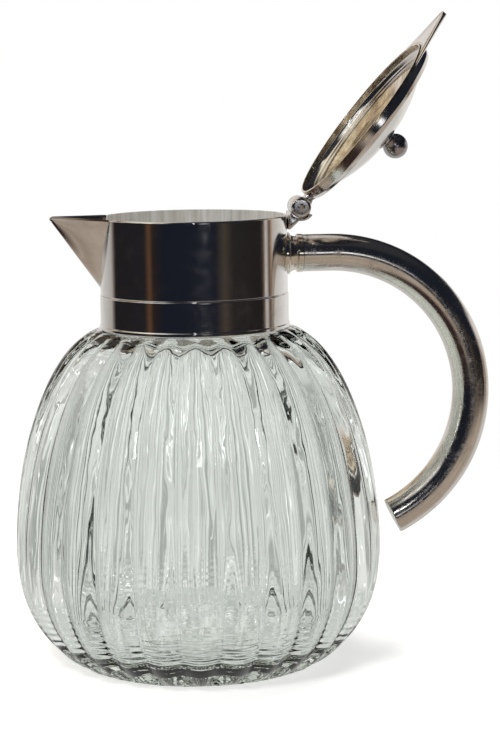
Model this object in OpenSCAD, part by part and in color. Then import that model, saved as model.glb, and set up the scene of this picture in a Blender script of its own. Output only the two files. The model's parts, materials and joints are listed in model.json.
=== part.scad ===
// Ribbed glass jug with a silver-plated collar, spout, tube handle and hinged dome lid.
// Origin: centre of the flat base. +Z is up, the spout points to -X, the handle to +X.
// The lid is drawn standing open on its stop, which is the rest position of its hinge.

/* [Glass body] */
// Largest radius of the glass, over the ribs
belly_r = 93.4; // [85:0.1:100]
// Height of the widest place
belly_z = 56; // [50:1:64]
// Radius of the flat base
foot_r = 62.5; // [58:0.5:66]
// Height of the glass shoulder under the collar
shoulder_z = 169.8; // [165:0.1:175]
// Number of ribs round the body
rib_count = 28; // [20:1:36]
// Depth of the valleys between the ribs
rib_depth = 2.2; // [1:0.1:3]
// Turn of the first rib from the handle, in degrees
rib_turn = -4.8; // [-8:0.1:8]
// Thickness of the glass wall
glass_wall = 4.5; // [3:0.1:6]
// Thickness of the glass floor
glass_floor = 11; // [8:0.5:14]

/* [Neck and collar] */
// Outer radius of the upper sleeve
collar_r = 47.25; // [45:0.05:50]
// Height of the rim, where the sleeve ends
rim_z = 226; // [215:1:235]
// Height of the seam between the base band and the sleeve
seam_z = 187; // [182:1:192]
// Height of the base band's lower lip
band_z = 169.3; // [166:0.1:172]
// Thickness of the sheet metal
sheet = 1.2; // [0.8:0.1:1.6]
// Outer radius of the glass neck inside the collar
neck_r = 43.6; // [42:0.1:44]
// Height of the top of the glass neck
neck_top_z = 190; // [184:1:196]

/* [Spout] */
// Reach of the spout's tip from the jug's axis
spout_reach = 72.3; // [65:0.1:80]
// Half the angle that the spout takes up on the collar
spout_half_angle = 24; // [18:1:28]
// Drop of the spout's top edge where it meets the collar
spout_drop = 1; // [0:0.1:2]

/* [Handle] */
// Height of the straight start of the handle
handle_z = 205.9; // [200:0.1:210]
// Outer radius of the handle tube
tube_r = 9.4; // [8:0.1:11]
// Radius of the handle's bend, to the tube's middle
bend_r = 72.5; // [65:0.5:80]
// Where the straight start ends and the bend begins
bend_x = 69.6; // [65:0.1:75]
// Angle below level at which the bend ends
bend_end = 64.4; // [50:0.1:75]
// Length of the ferrule between the collar and the tube
ferrule_len = 8; // [6:0.5:12]

/* [Lid] */
// Height of the lid's turned-down edge
lid_edge_h = 4.4; // [4:0.1:6]
// Height at which the lid's shoulder meets the dome
lid_cove_h = 7.8; // [7:0.1:9]
// Height of the lid's dome over the rim plane
lid_dome_h = 17.5; // [14:0.1:20]
// Radius at which the dome starts
dome_r = 38; // [36:0.1:42]
// Gap between the closed lid and the rim
lid_gap = 0.3; // [0.3:0.05:0.6]
// Length of the flap that covers the spout, beyond the lid's edge
flap_len = 20.4; // [15:0.1:22]
// Radius of the ball knob
ball_r = 6.3; // [5:0.1:8]
// Angle from closed to fully open
open_angle = 128.6; // [100:0.1:129]

/* [Hinge] */
// Distance of the hinge pin from the jug's axis
hinge_x = 53.9; // [53.8:0.1:55]
// Height of the hinge pin above the rim
hinge_rise = 3.4; // [3:0.1:4]
// Radius of the hinge knuckles
knuckle_r = 5.2; // [4.5:0.1:5.4]
// Length of the lid's knuckle
lid_knuckle_w = 8; // [6:0.5:10]
// Length of each fixed knuckle
fixed_knuckle_w = 4.6; // [4:0.1:6]
// Radius of the hinge pin
pin_r = 1.5; // [1.2:0.1:2]

/* [Hidden] */
$fn = 96;

// Smallest cut-through margin for subtracted shapes
cut = 1;
// Gap between pieces that turn against each other
play = 0.35;
// Radial clearance of the pin in the lid's knuckle
pin_fit = 0.05;
// How far the base band and the rim's bead stand out from the sleeve
band_step = 0.35;
bead = 0.25;
// Height of the bead, down from the rim
bead_h = 3.2;
band_r = collar_r + band_step;
sleeve_in_r = collar_r - sheet;
neck_bore_r = neck_r - glass_wall;
hinge_z = rim_z + hinge_rise;
lid_z = rim_z + lid_gap;
barrel_half = lid_knuckle_w / 2 + play + fixed_knuckle_w;
// Radius of the strap's hollow round the turning knuckle
cradle_r = knuckle_r + play + 0.2;
bend_z = handle_z - bend_r;
tube_in_r = tube_r - sheet;
tube_x = collar_r + ferrule_len;
// Sides drawn round the tube
tube_fn = 40;
cap_len = 1.6;
cap_angle = cap_len / bend_r * 180 / PI;
spout_w = collar_r * sin(spout_half_angle);
spout_joint_x = -collar_r * cos(spout_half_angle);
spout_joint_z = rim_z - spout_drop;
// How far the spout's opening is cut above the rim
above_rim = 4;

// --- Outline of the glass: two smooth curves that meet at the belly ---
// Radius at which the shoulder starts, and how far its curve is pulled out and down
shoulder_r = 46;
shoulder_pull = [28, -3.4];
// How far the two curves are pulled straight up and down from the belly
belly_pull_up = 51;
belly_pull_down = 39.4;
// How far the lower curve runs out level from the foot
foot_pull = 3.4;
shoulder_curve = [
    [shoulder_r, shoulder_z], [shoulder_r, shoulder_z] + shoulder_pull,
    [belly_r, belly_z + belly_pull_up], [belly_r, belly_z]
];
foot_curve = [
    [belly_r, belly_z], [belly_r, belly_z - belly_pull_down], [foot_r + foot_pull, 0], [foot_r, 0]
];
shoulder_rows = 9;
foot_rows = 9;
points_per_rib = 4;
// Share of each curve over which the ribs rise from nothing
shoulder_fade = 0.25;
foot_fade = 0.3;

function curve_point(c, t) = pow(1 - t, 3) * c[0] + 3 * pow(1 - t, 2) * t * c[1]
    + 3 * (1 - t) * pow(t, 2) * c[2] + pow(t, 3) * c[3];
function curve_slope(c, t) = 3 * pow(1 - t, 2) * (c[1] - c[0]) + 6 * (1 - t) * t * (c[2] - c[1])
    + 3 * pow(t, 2) * (c[3] - c[2]);
// Outward normal of a curve that runs down the outside of the glass
function curve_normal(c, t) = let (s = curve_slope(c, t)) [-s[1], s[0]] / norm(s);
function smooth(x) = let (k = max(0, min(1, x))) k * k * (3 - 2 * k);

// One entry a row, from the shoulder to the foot: [outline point, normal, rib depth]
glass_rows = concat(
    [for (i = [0 : shoulder_rows - 1]) let (t = i / shoulder_rows, c = shoulder_curve)
        [curve_point(c, t), curve_normal(c, t), rib_depth * smooth(t / shoulder_fade)]],
    [for (i = [0 : foot_rows]) let (t = i / foot_rows, c = foot_curve)
        [curve_point(c, t), curve_normal(c, t), rib_depth * smooth((1 - t) / foot_fade)]]
);
columns = rib_count * points_per_rib;
// 0 on the crest of a rib, 1 in the sharp valley beside it
function valley(k) = 1 - abs(cos(180 * k / points_per_rib));
function glass_point(row, k) = let (
    p = row[0] - row[1] * row[2] * valley(k),
    a = rib_turn + 360 * k / columns
) [p[0] * cos(a), p[0] * sin(a), p[1]];

module ribbed_solid() {
    last = len(glass_rows) - 1;
    points = [for (row = glass_rows) for (k = [0 : columns - 1]) glass_point(row, k)];
    side = [for (i = [0 : last - 1]) for (k = [0 : columns - 1]) let (n = (k + 1) % columns)
        [i * columns + k, i * columns + n, (i + 1) * columns + n, (i + 1) * columns + k]];
    top = [for (k = [0 : columns - 1]) columns - 1 - k];
    bottom = [for (k = [0 : columns - 1]) last * columns + k];
    polyhedron(points = points, faces = concat([for (f = side) [f[0], f[1], f[2]]],
        [for (f = side) [f[0], f[2], f[3]]], [top, bottom]), convexity = 6);
}

// The hollow inside: the outline moved inwards by the wall, with a thick floor
function inside_point(row) = let (p = row[0] - row[1] * (glass_wall + rib_depth / 2))
    [p[0], max(p[1], glass_floor)];
module glass_hollow() {
    throat_z = shoulder_z - 7;
    wall = [for (i = [2 : len(glass_rows) - 4]) inside_point(glass_rows[i])];
    rotate_extrude()
        polygon(concat(
            [[0, neck_top_z + cut], [neck_bore_r, neck_top_z + cut], [neck_bore_r, throat_z]],
            wall, [[foot_r, glass_floor], [0, glass_floor]]
        ));
}

module glass_body() {
    neck_root = 3;
    color([0.86, 0.92, 0.9, 0.45])
        difference() {
            union() {
                ribbed_solid();
                translate([0, 0, shoulder_z - neck_root])
                    cylinder(r = neck_r, h = neck_top_z - shoulder_z + neck_root);
            }
            glass_hollow();
        }
}

// Plaster ring that sets the collar on the glass neck
module neck_cement() {
    low = shoulder_z + 1.5;
    high = neck_top_z - 2;
    color("ivory")
        translate([0, 0, low])
            difference() {
                cylinder(r = sleeve_in_r, h = high - low);
                translate([0, 0, -cut]) cylinder(r = neck_r, h = high - low + 2 * cut);
            }
}

// Lower band of the collar, with a small rolled lip over the glass
module collar_base_band() {
    color("silver")
        rotate_extrude()
            polygon([
                [sleeve_in_r, seam_z], [sleeve_in_r, shoulder_z + 0.6], [band_r - 0.6, band_z + 0.8],
                [band_r, band_z + 0.5], [band_r + 0.4, band_z + 0.9], [band_r + 0.5, band_z + 1.5],
                [band_r + 0.2, band_z + 2.4], [band_r, band_z + 3.2], [band_r, seam_z - 0.5],
                [band_r - 0.4, seam_z]
            ]);
}

// Space under the spout's two slanting sheets, from inside the collar to the tip; grow
// moves the sheets outwards, top raises the open side above the rim
module spout_wedge(grow, top) {
    tip = [-spout_reach - grow, 0, rim_z];
    keel = [-collar_r + 0.4 - grow, 0, seam_z + 0.6 - grow];
    depth = 6;
    inner = spout_joint_x + depth;
    w = spout_w + grow;
    hull_points = [
        tip, [spout_joint_x, w, spout_joint_z], [spout_joint_x, -w, spout_joint_z], keel,
        [inner, w, spout_joint_z], [inner, -w, spout_joint_z], [inner, 0, keel[2]],
        tip + [0, 0, top], [spout_joint_x, w, rim_z + top], [spout_joint_x, -w, rim_z + top],
        [inner, w, rim_z + top], [inner, -w, rim_z + top]
    ];
    triples = [for (i = [0 : len(hull_points) - 3]) [i, i + 1, i + 2]];
    hull() polyhedron(points = hull_points, faces = triples);
}

module collar_sleeve() {
    color("silver")
        difference() {
            rotate_extrude()
                polygon([
                    [sleeve_in_r, seam_z], [collar_r - 0.4, seam_z], [collar_r, seam_z + 0.5],
                    [collar_r, rim_z - 3], [collar_r + bead, rim_z - 2], [collar_r + bead, rim_z - 0.9],
                    [collar_r - 0.1, rim_z - 0.15], [collar_r - 0.5, rim_z], [sleeve_in_r + 0.3, rim_z],
                    [sleeve_in_r, rim_z - 0.4]
                ]);
            spout_wedge(-sheet, above_rim);
        }
}

module spout() {
    color("gainsboro")
        difference() {
            spout_wedge(0, 0);
            spout_wedge(-sheet, above_rim);
            translate([0, 0, seam_z - cut]) cylinder(r = collar_r + bead, h = rim_z);
        }
}

// Turned socket: a flare on the collar, a groove, a ring and a spigot inside the tube
module handle_ferrule() {
    flare_r = tube_r + 1.3;
    root = 3;
    spigot = 8;
    color("silver")
        difference() {
            translate([0, 0, handle_z]) rotate([0, 90, 0])
                rotate_extrude()
                    polygon([
                        [0, collar_r - root], [flare_r, collar_r - root], [flare_r, collar_r + 0.9],
                        [flare_r - 0.5, collar_r + 1.6], [tube_r - 0.2, collar_r + 2.6],
                        [tube_r - 0.7, collar_r + 3.6], [tube_r - 0.7, collar_r + 4.4],
                        [tube_r - 0.1, collar_r + 4.9], [tube_r + 0.25, collar_r + 5.6],
                        [tube_r + 0.25, tube_x - 0.8], [tube_r - 0.1, tube_x],
                        [tube_in_r, tube_x], [tube_in_r, tube_x + spigot], [0, tube_x + spigot]
                    ]);
            translate([0, 0, seam_z]) cylinder(r = collar_r, h = rim_z - seam_z - bead_h);
        }
}

// The straight start is a hair thinner than the bend, as drawn tube is before it is bent
module handle_tube() {
    draw = 0.02;
    start_len = bend_x - tube_x;
    color("silver") {
        translate([tube_x, 0, handle_z]) rotate([0, 90, 0])
            difference() {
                cylinder(r = tube_r - draw, h = start_len, $fn = tube_fn);
                translate([0, 0, -cut])
                    cylinder(r = tube_in_r + draw, h = start_len + 2 * cut, $fn = tube_fn);
            }
        translate([bend_x, 0, bend_z]) rotate([90, 0, 0]) rotate([0, 0, cap_angle - bend_end])
            rotate_extrude(angle = 90 + bend_end - cap_angle)
                translate([bend_r, 0])
                    difference() {
                        circle(r = tube_r, $fn = tube_fn);
                        circle(r = tube_in_r, $fn = tube_fn);
                    }
    }
}

// Disc that closes the free end of the handle, with a short plug inside the tube
module handle_end_cap() {
    plug = 2;
    plug_r = tube_in_r - 0.4;
    color("silver")
        translate([bend_x, 0, bend_z]) rotate([0, bend_end - cap_angle, 0])
            translate([bend_r, 0, 0]) rotate([180, 0, 0])
                rotate_extrude()
                    polygon([
                        [0, -plug], [plug_r, -plug], [plug_r, 0], [tube_r, 0],
                        [tube_r, cap_len - 0.8], [tube_r - 0.3, cap_len - 0.25], [tube_r - 0.9, cap_len],
                        [0, cap_len]
                    ]);
}

// A bar across the hinge, with its axis on the pin's axis
module hinge_bar(r, y, w) {
    translate([hinge_x, y + w, hinge_z]) rotate([90, 0, 0]) cylinder(r = r, h = w);
}

// Strap soldered to the collar, which carries the two fixed knuckles
module hinge_bracket() {
    foot_z = rim_z - 7.5;
    top_z = rim_z - 3.4;
    foot_t = 0.9;
    root = 2;
    color("silver")
        difference() {
            translate([0, barrel_half, 0]) rotate([90, 0, 0])
                linear_extrude(height = 2 * barrel_half)
                    polygon([
                        [collar_r - root, foot_z], [collar_r + foot_t, foot_z],
                        [hinge_x + 2.4, hinge_z - 5.6], [hinge_x + 3.6, hinge_z - 3.6],
                        [hinge_x, hinge_z], [collar_r + 1, top_z], [collar_r - root, top_z]
                    ]);
            translate([0, 0, foot_z - cut]) cylinder(r = collar_r, h = top_z - foot_z + 2 * cut);
            hinge_bar(knuckle_r, -barrel_half - cut, 2 * barrel_half + 2 * cut);
            hinge_bar(cradle_r, -lid_knuckle_w / 2 - play, lid_knuckle_w + 2 * play);
        }
}

module fixed_knuckles() {
    color("gainsboro")
        for (y = [-barrel_half, barrel_half - fixed_knuckle_w])
            difference() {
                hinge_bar(knuckle_r, y, fixed_knuckle_w);
                hinge_bar(pin_r, y - cut, fixed_knuckle_w + 2 * cut);
            }
}

// Pin through all three knuckles, with a low riveted head at each end
module hinge_pin() {
    head_h = 0.6;
    head_r = pin_r + 0.7;
    color("gray") {
        hinge_bar(pin_r, -barrel_half, 2 * barrel_half);
        hinge_bar(head_r, -barrel_half - head_h, head_h);
        hinge_bar(head_r, barrel_half, head_h);
    }
}

// Turns what is drawn closed on the rim about the hinge pin to the open rest position
module opened() {
    translate([hinge_x, 0, hinge_z]) rotate([0, open_angle, 0]) translate([-hinge_x, 0, -hinge_z])
        children();
}

module lid_knuckle() {
    color("gainsboro")
        difference() {
            hinge_bar(knuckle_r, -lid_knuckle_w / 2, lid_knuckle_w);
            hinge_bar(pin_r + pin_fit, -lid_knuckle_w / 2 - cut, lid_knuckle_w + 2 * cut);
        }
}

// --- Lid, drawn closed: heights are above the lid's own rim plane ---
dome_steps = 12;
dome_rise = lid_dome_h - lid_cove_h - 0.3;
dome_sphere_r = (pow(dome_r, 2) + pow(dome_rise, 2)) / (2 * dome_rise);
// Thickness of the dome's sheet
dome_sheet = 1;
function dome_height(r) = lid_dome_h - dome_sphere_r + sqrt(pow(dome_sphere_r, 2) - pow(r, 2));
// Points of the dome from the cove to the axis, lowered for the inside of the sheet
function dome_points(lower) = [for (i = [0 : dome_steps]) let (r = dome_r * (1 - i / dome_steps))
    [r, dome_height(r) - lower]];
lid_edge = [
    [collar_r, 0], [collar_r + 0.1, 1.5], [collar_r, lid_edge_h - 1.2], [collar_r - 0.5, lid_edge_h],
    [collar_r - 1.8, lid_edge_h + 1.1], [collar_r - 5, lid_edge_h + 2.4], [dome_r + 1.4, lid_cove_h - 0.2],
    [dome_r + 0.7, lid_cove_h]
];
lid_edge_inside = [
    [dome_r - 0.6, lid_cove_h - 1.1], [dome_r + 1.2, lid_cove_h - 1.4], [collar_r - 5.4, lid_edge_h + 1.2],
    [collar_r - 2.5, lid_edge_h], [collar_r - sheet, lid_edge_h - 1.6], [collar_r - sheet, 0]
];

module lid_outside() {
    translate([0, 0, lid_z]) rotate_extrude()
        polygon(concat([[0, 0]], lid_edge, dome_points(0)));
}

// A round bar on the lid's axis, between two heights above the lid's rim plane
module axis_bar(r, low, high) {
    translate([0, 0, lid_z + low]) cylinder(r = r, h = high - low);
}

stud_r = 1.6;
module lid_shell() {
    inside = dome_points(dome_sheet);
    color("silver")
        opened()
            difference() {
                translate([0, 0, lid_z]) rotate_extrude()
                    polygon(concat(lid_edge, dome_points(0),
                        [for (i = [dome_steps : -1 : 1]) inside[i]], lid_edge_inside));
                axis_bar(stud_r, lid_dome_h - dome_sheet - cut, lid_dome_h + cut);
            }
}

// Flat flap over the spout: its sides leave the lid's round edge at a tangent and run to a
// round tip
module lid_flap() {
    tip_r = 8;
    tip_steps = 8;
    flap_t = 1.6;
    // Height of the flap's underside above the lid's rim plane
    flap_rise = 0.3;
    tip_x = collar_r + flap_len - tip_r;
    side_angle = acos((collar_r - tip_r) / tip_x);
    // Where the sides come clear of the lid's edge, measured along them from the tangent
    clear = 4;
    corner = collar_r * [cos(side_angle), sin(side_angle)] + clear * [sin(side_angle), -cos(side_angle)];
    tip = [for (i = [0 : tip_steps]) let (a = 180 + side_angle * (2 * i / tip_steps - 1))
        [-tip_x + tip_r * cos(a), tip_r * sin(a)]];
    color("silver")
        opened()
            difference() {
                translate([0, 0, lid_z + flap_rise])
                    linear_extrude(height = flap_t)
                        polygon(concat(tip, [[-corner[0], -corner[1]], [-corner[0], corner[1]]]));
                lid_outside();
            }
}

// Leaf from the lid's knuckle over the lid's edge, soldered to its shoulder
module lid_leaf() {
    // Where the leaf ends on the dome
    end_r = dome_r - 4;
    color("silver")
        opened()
            difference() {
                translate([0, lid_knuckle_w / 2 - 0.1, 0]) rotate([90, 0, 0])
                    linear_extrude(height = lid_knuckle_w - 0.2)
                        polygon([
                            [collar_r - 1, lid_z + 1.2], [hinge_x - 3, lid_z + 1.6], [hinge_x, hinge_z],
                            [hinge_x - 1.5, hinge_z + knuckle_r - 0.2],
                            [collar_r, lid_z + lid_edge_h + 1.7], [collar_r - 5, lid_z + lid_edge_h + 4.2],
                            [dome_r, lid_z + lid_cove_h + 1.7],
                            [end_r, lid_z + dome_height(end_r) + 1],
                            [end_r - 1, lid_z + dome_height(end_r - 1)], [end_r - 1, lid_z + 2]
                        ]);
                lid_outside();
                hinge_bar(knuckle_r, -lid_knuckle_w, 2 * lid_knuckle_w);
            }
}

// Height of the ball's middle and of the stud's top inside it
ball_h = 23.3;
stud_top = ball_h + 1;
washer_h = 1.2;
// Low round washer between the dome and the ball
module knob_washer() {
    washer_r = 5.5;
    // How far the washer is drawn into the dome before the dome is cut away
    sink = 0.6;
    color("silver")
        opened()
            difference() {
                translate([0, 0, lid_z + lid_dome_h - sink]) cylinder(r = washer_r, h = washer_h + sink);
                lid_outside();
                axis_bar(stud_r, lid_dome_h - sink - cut, lid_dome_h + washer_h + cut);
            }
}

module knob_ball() {
    color("dimgray")
        opened()
            difference() {
                translate([0, 0, lid_z + ball_h]) sphere(r = ball_r);
                axis_bar(2 * ball_r, lid_dome_h - ball_r, lid_dome_h + washer_h);
                axis_bar(stud_r, lid_dome_h, stud_top);
            }
}

// Stud from inside the ball through the dome, with a flat head on the inside
module knob_stud() {
    head_h = 0.7;
    head_r = stud_r + 1.4;
    // The head bears on the sheet's inside, which falls away a little from the axis
    head_top = lid_dome_h - dome_sheet - 0.06;
    color("silver")
        opened() {
            axis_bar(stud_r, lid_dome_h - dome_sheet - head_h, stud_top);
            axis_bar(head_r, head_top - head_h, head_top);
        }
}

glass_body();
neck_cement();
collar_base_band();
collar_sleeve();
spout();
handle_ferrule();
handle_tube();
handle_end_cap();
hinge_bracket();
fixed_knuckles();
hinge_pin();
lid_knuckle();
lid_leaf();
lid_shell();
lid_flap();
knob_washer();
knob_ball();
knob_stud();
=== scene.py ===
"""Ribbed glass jug with silver-plated collar, spout, tube handle and hinged dome lid.

Lengths in this file are millimetres unless a name ends in _m; pieces are scaled to metres
when their meshes are made. The jug stands on z = 0, spout to -X, handle to +X.
"""

import json
import math

import bmesh
import bpy
import numpy as np
from mathutils import Matrix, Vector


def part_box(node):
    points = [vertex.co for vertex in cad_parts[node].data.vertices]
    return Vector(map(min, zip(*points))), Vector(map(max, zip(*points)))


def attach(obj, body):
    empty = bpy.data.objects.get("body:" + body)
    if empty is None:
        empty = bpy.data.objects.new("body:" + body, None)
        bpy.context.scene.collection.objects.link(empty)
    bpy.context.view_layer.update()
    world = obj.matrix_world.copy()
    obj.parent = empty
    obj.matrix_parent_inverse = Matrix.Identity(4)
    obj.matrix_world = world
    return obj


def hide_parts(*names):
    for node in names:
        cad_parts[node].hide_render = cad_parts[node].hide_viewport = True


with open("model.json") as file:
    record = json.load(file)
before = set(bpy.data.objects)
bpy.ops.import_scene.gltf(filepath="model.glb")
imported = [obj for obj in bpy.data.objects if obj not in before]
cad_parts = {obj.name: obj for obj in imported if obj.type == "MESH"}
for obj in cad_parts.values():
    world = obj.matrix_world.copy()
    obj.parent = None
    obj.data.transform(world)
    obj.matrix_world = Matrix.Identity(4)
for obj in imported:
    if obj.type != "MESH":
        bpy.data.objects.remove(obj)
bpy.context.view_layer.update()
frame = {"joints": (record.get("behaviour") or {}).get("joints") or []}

MM = 0.001

# --- Driving sizes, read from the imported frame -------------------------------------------


def node_box(node):
    """Lowest and highest corner of a CAD node, in millimetres."""
    low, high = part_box(node)
    return np.array(low) / MM, np.array(high) / MM


GLASS_HIGH = node_box("glass_body")[1]
SLEEVE_LOW, SLEEVE_HIGH = node_box("collar_sleeve")
BAND_LOW = node_box("collar_base_band")[0]
CEMENT_LOW, CEMENT_HIGH = node_box("neck_cement")
SPOUT_LOW, SPOUT_HIGH = node_box("spout")
TUBE_LOW, TUBE_HIGH = node_box("handle_tube")
PIN_HIGH = node_box("hinge_pin")[1]
LID_KNUCKLE_LOW, LID_KNUCKLE_HIGH = node_box("lid_knuckle")
HINGE = frame["joints"][0]
HINGE_X = HINGE["pos_m"][0] / MM
HINGE_Z = HINGE["pos_m"][2] / MM
OPEN_ANGLE = math.radians(HINGE["range_deg"][1])

RIM_Z = SLEEVE_HIGH[2]
SEAM_Z = SLEEVE_LOW[2]
BAND_Z = BAND_LOW[2]
SHEET = 1.2
# The CAD's rim stands out this far beyond the sleeve
RIM_BEAD = 0.25
COLLAR_R = SLEEVE_HIGH[1] - RIM_BEAD
SLEEVE_IN_R = COLLAR_R - SHEET
LID_GAP = 0.3
LID_Z = RIM_Z + LID_GAP
LID_EDGE_H = 4.4
LID_COVE_H = 7.8
LID_DOME_H = 17.5
COVE_DEPTH = 0.3
DOME_R = 38.0
DOME_SHEET = 1.0
DOME_RISE = LID_DOME_H - LID_COVE_H - COVE_DEPTH
DOME_SPHERE_R = (DOME_R**2 + DOME_RISE**2) / (2 * DOME_RISE)

# --- Mesh helpers --------------------------------------------------------------------------


def grid_faces(rows, columns, close_rows, close_columns):
    """Quads between neighbouring points of a rows x columns grid."""
    faces = []
    for i in range(rows if close_rows else rows - 1):
        for j in range(columns if close_columns else columns - 1):
            a, b = i * columns + j, i * columns + (j + 1) % columns
            k = ((i + 1) % rows) * columns
            faces.append((a, b, k + (j + 1) % columns, k + j))
    return faces


def make_piece(name, points, faces, material, body, node, sharp_angle=32.0):
    """A smooth-shaded mesh piece from points in mm, which rides on body and stands for node."""
    mesh = bpy.data.meshes.new(name)
    mesh.from_pydata((np.asarray(points) * MM).tolist(), [], faces)
    bm = bmesh.new()
    bm.from_mesh(mesh)
    bmesh.ops.remove_doubles(bm, verts=bm.verts, dist=2e-6)
    bmesh.ops.recalc_face_normals(bm, faces=bm.faces)
    limit = math.radians(sharp_angle)
    for face in bm.faces:
        face.smooth = True
    for edge in bm.edges:
        edge.smooth = len(edge.link_faces) == 2 and edge.calc_face_angle(0.0) < limit
    bm.to_mesh(mesh)
    bm.free()
    piece = bpy.data.objects.new(name, mesh)
    bpy.context.collection.objects.link(piece)
    piece.data.materials.append(material)
    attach(piece, body)
    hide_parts(node)
    return piece


def fillet(path, steps=5, guard=0.2):
    """Rounds the corners of a closed outline. Each entry is (r, z) or (r, z, corner radius).

    A guard point beside each rounded corner keeps the straight stretches' shading flat.
    """
    out = []
    count = len(path)
    for i, entry in enumerate(path):
        here = np.array(entry[:2], float)
        if len(entry) < 3 or entry[2] == 0:
            out.append(here)
            continue
        before = np.array(path[i - 1][:2], float) - here
        after = np.array(path[(i + 1) % count][:2], float) - here
        reach_before, reach_after = np.linalg.norm(before), np.linalg.norm(after)
        before /= reach_before
        after /= reach_after
        half = 0.5 * math.acos(np.clip(before @ after, -1, 1))
        reach = min(entry[2] / math.tan(half), 0.49 * reach_before, 0.49 * reach_after)
        start, end = here + before * reach, here + after * reach
        if reach + guard < 0.5 * reach_before:
            out.append(start + before * guard)
        for k in range(steps + 1):
            t = k / steps
            out.append((1 - t) ** 2 * start + 2 * t * (1 - t) * here + t * t * end)
        if reach + guard < 0.5 * reach_after:
            out.append(end + after * guard)
    return np.array(out)


def revolve(outline, columns=192):
    """Points and faces of a closed outline (r, z) turned about the Z axis."""
    angles = np.arange(columns) * 2 * math.pi / columns
    r, z = outline[:, 0:1], outline[:, 1:2]
    points = np.stack(
        [r * np.cos(angles), r * np.sin(angles), z + 0 * angles], axis=2
    ).reshape(-1, 3)
    return points, grid_faces(len(outline), columns, True, True)


def about_axis(points, base, direction):
    """Moves points drawn along +Z so that +Z points along direction from base."""
    direction = np.array(direction, float) / np.linalg.norm(direction)
    axis = np.cross((0.0, 0.0, 1.0), direction)
    turn = np.array(Matrix.Rotation(math.acos(direction[2]), 3, axis))
    return points @ turn.T + np.array(base)


def opened(points):
    """Turns what is drawn closed on the rim about the hinge pin to the open rest position."""
    turn = np.array(Matrix.Rotation(OPEN_ANGLE, 3, "Y"))
    hinge = np.array([HINGE_X, 0.0, HINGE_Z])
    return (np.asarray(points) - hinge) @ turn.T + hinge


LID_CENTRE = opened([0.0, 0.0, LID_Z + LID_DOME_H - DOME_SPHERE_R])


def prism(outline, y_low, y_high, bevel, name, material, body, node, move=None):
    """An outline in the XZ plane drawn out along Y, with softly rounded edges."""
    count = len(outline)
    points = [(x, y, z) for y in (y_low, y_high) for x, z in outline]
    faces = [tuple(range(count - 1, -1, -1)), tuple(range(count, 2 * count))]
    faces += [(i, (i + 1) % count, count + (i + 1) % count, count + i) for i in range(count)]
    piece = make_piece(name, points, faces, material, body, node)
    bm = bmesh.new()
    bm.from_mesh(piece.data)
    bmesh.ops.bevel(
        bm, geom=bm.edges[:], offset=bevel * MM, segments=3, profile=0.5, affect="EDGES",
        clamp_overlap=True,
    )
    for face in bm.faces:
        face.smooth = True
    for edge in bm.edges:
        edge.smooth = edge.calc_face_angle(0.0) < math.radians(40)
    if move:
        moved = move(np.array([v.co for v in bm.verts]) / MM) * MM
        for vertex, place in zip(bm.verts, moved):
            vertex.co = place
    bm.to_mesh(piece.data)
    bm.free()
    return piece


# --- Materials -----------------------------------------------------------------------------


class Nodes:
    """A short way to wire one material's nodes."""

    def __init__(self, name):
        self.material = bpy.data.materials.new(name)
        self.material.use_nodes = True
        self.tree = self.material.node_tree
        self.shader = self.tree.nodes["Principled BSDF"]
        self.coordinates = self.tree.nodes.new("ShaderNodeTexCoord").outputs["Object"]

    def node(self, kind, **inputs):
        made = self.tree.nodes.new(kind)
        for key, value in inputs.items():
            self.put(made.inputs[key.replace("_", " ")], value)
        return made

    def put(self, socket, value):
        if isinstance(value, bpy.types.NodeSocket):
            self.tree.links.new(value, socket)
        else:
            socket.default_value = value

    def noise(self, scale, detail=4.0, roughness=0.5, stretch=(1, 1, 1), distortion=0.0):
        """Noise of about the given scale per metre, stretched along an axis."""
        mapped = self.node("ShaderNodeMapping", Vector=self.coordinates, Scale=stretch)
        made = self.node(
            "ShaderNodeTexNoise", Vector=mapped.outputs[0], Scale=scale, Detail=detail,
            Roughness=roughness, Distortion=distortion,
        )
        return made.outputs["Fac"]

    def ramp(self, factor, *stops):
        """A colour ramp; each stop is (place, grey or RGB)."""
        made = self.node("ShaderNodeValToRGB", Fac=factor)
        elements = made.color_ramp.elements
        while len(elements) < len(stops):
            elements.new(0.5)
        for element, (place, value) in zip(elements, stops):
            element.position = place
            grey = isinstance(value, (int, float))
            element.color = (value, value, value, 1) if grey else (*value, 1)
        return made.outputs["Color"]

    def mix(self, factor, a, b):
        """Mixes two colours by a factor."""
        made = self.tree.nodes.new("ShaderNodeMix")
        made.data_type = "RGBA"
        self.put(made.inputs[0], factor)
        for socket, value in ((made.inputs[6], a), (made.inputs[7], b)):
            is_socket = isinstance(value, bpy.types.NodeSocket)
            self.put(socket, value if is_socket or len(value) == 4 else (*value, 1))
        return made.outputs[2]

    def math(self, operation, a, b):
        made = self.tree.nodes.new("ShaderNodeMath")
        made.operation = operation
        self.put(made.inputs[0], a)
        self.put(made.inputs[1], b)
        return made.outputs[0]

    def bump(self, height, strength, distance_mm, under=None):
        made = self.node("ShaderNodeBump", Height=height, Strength=strength, Distance=distance_mm * MM)
        if under is not None:
            self.put(made.inputs["Normal"], under)
        return made.outputs["Normal"]


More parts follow.
